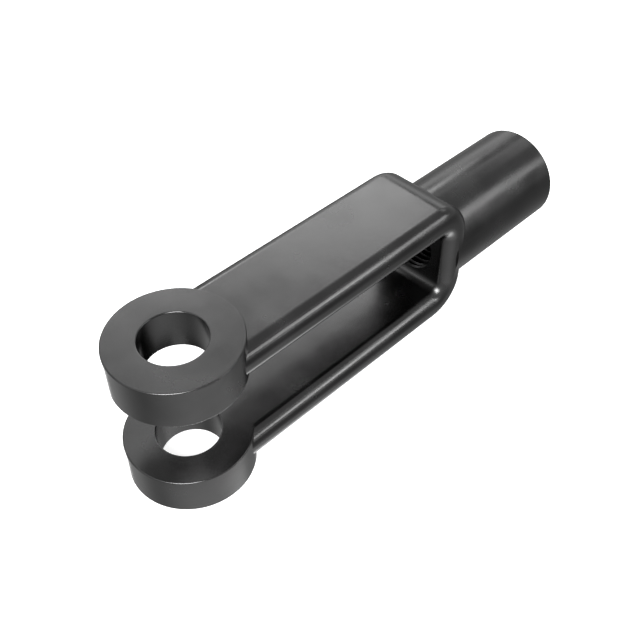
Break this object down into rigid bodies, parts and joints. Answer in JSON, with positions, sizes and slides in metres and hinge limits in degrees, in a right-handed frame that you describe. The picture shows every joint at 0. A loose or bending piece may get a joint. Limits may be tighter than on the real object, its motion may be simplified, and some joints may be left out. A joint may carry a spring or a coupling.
{
  "type": "tension rod clevis",
  "caption": "Forged steel clevis that joins the tapped end of a tension rod to a gusset plate by a cross pin through its eyes.",
  "frame": {"origin": "centre of the pin hole, half way between the eyes", "axes": "+X from the pin towards the rod, along the tapped bore; +Z along the pin; +Y across the arms"},
  "size_m": [0.171, 0.038, 0.051],
  "materials": {
    "forged_steel": "black oxide over forged steel, satin"
  },
  "bodies": {
    "root": {"clevis": "forged_steel"}
  },
  "joints": []
}
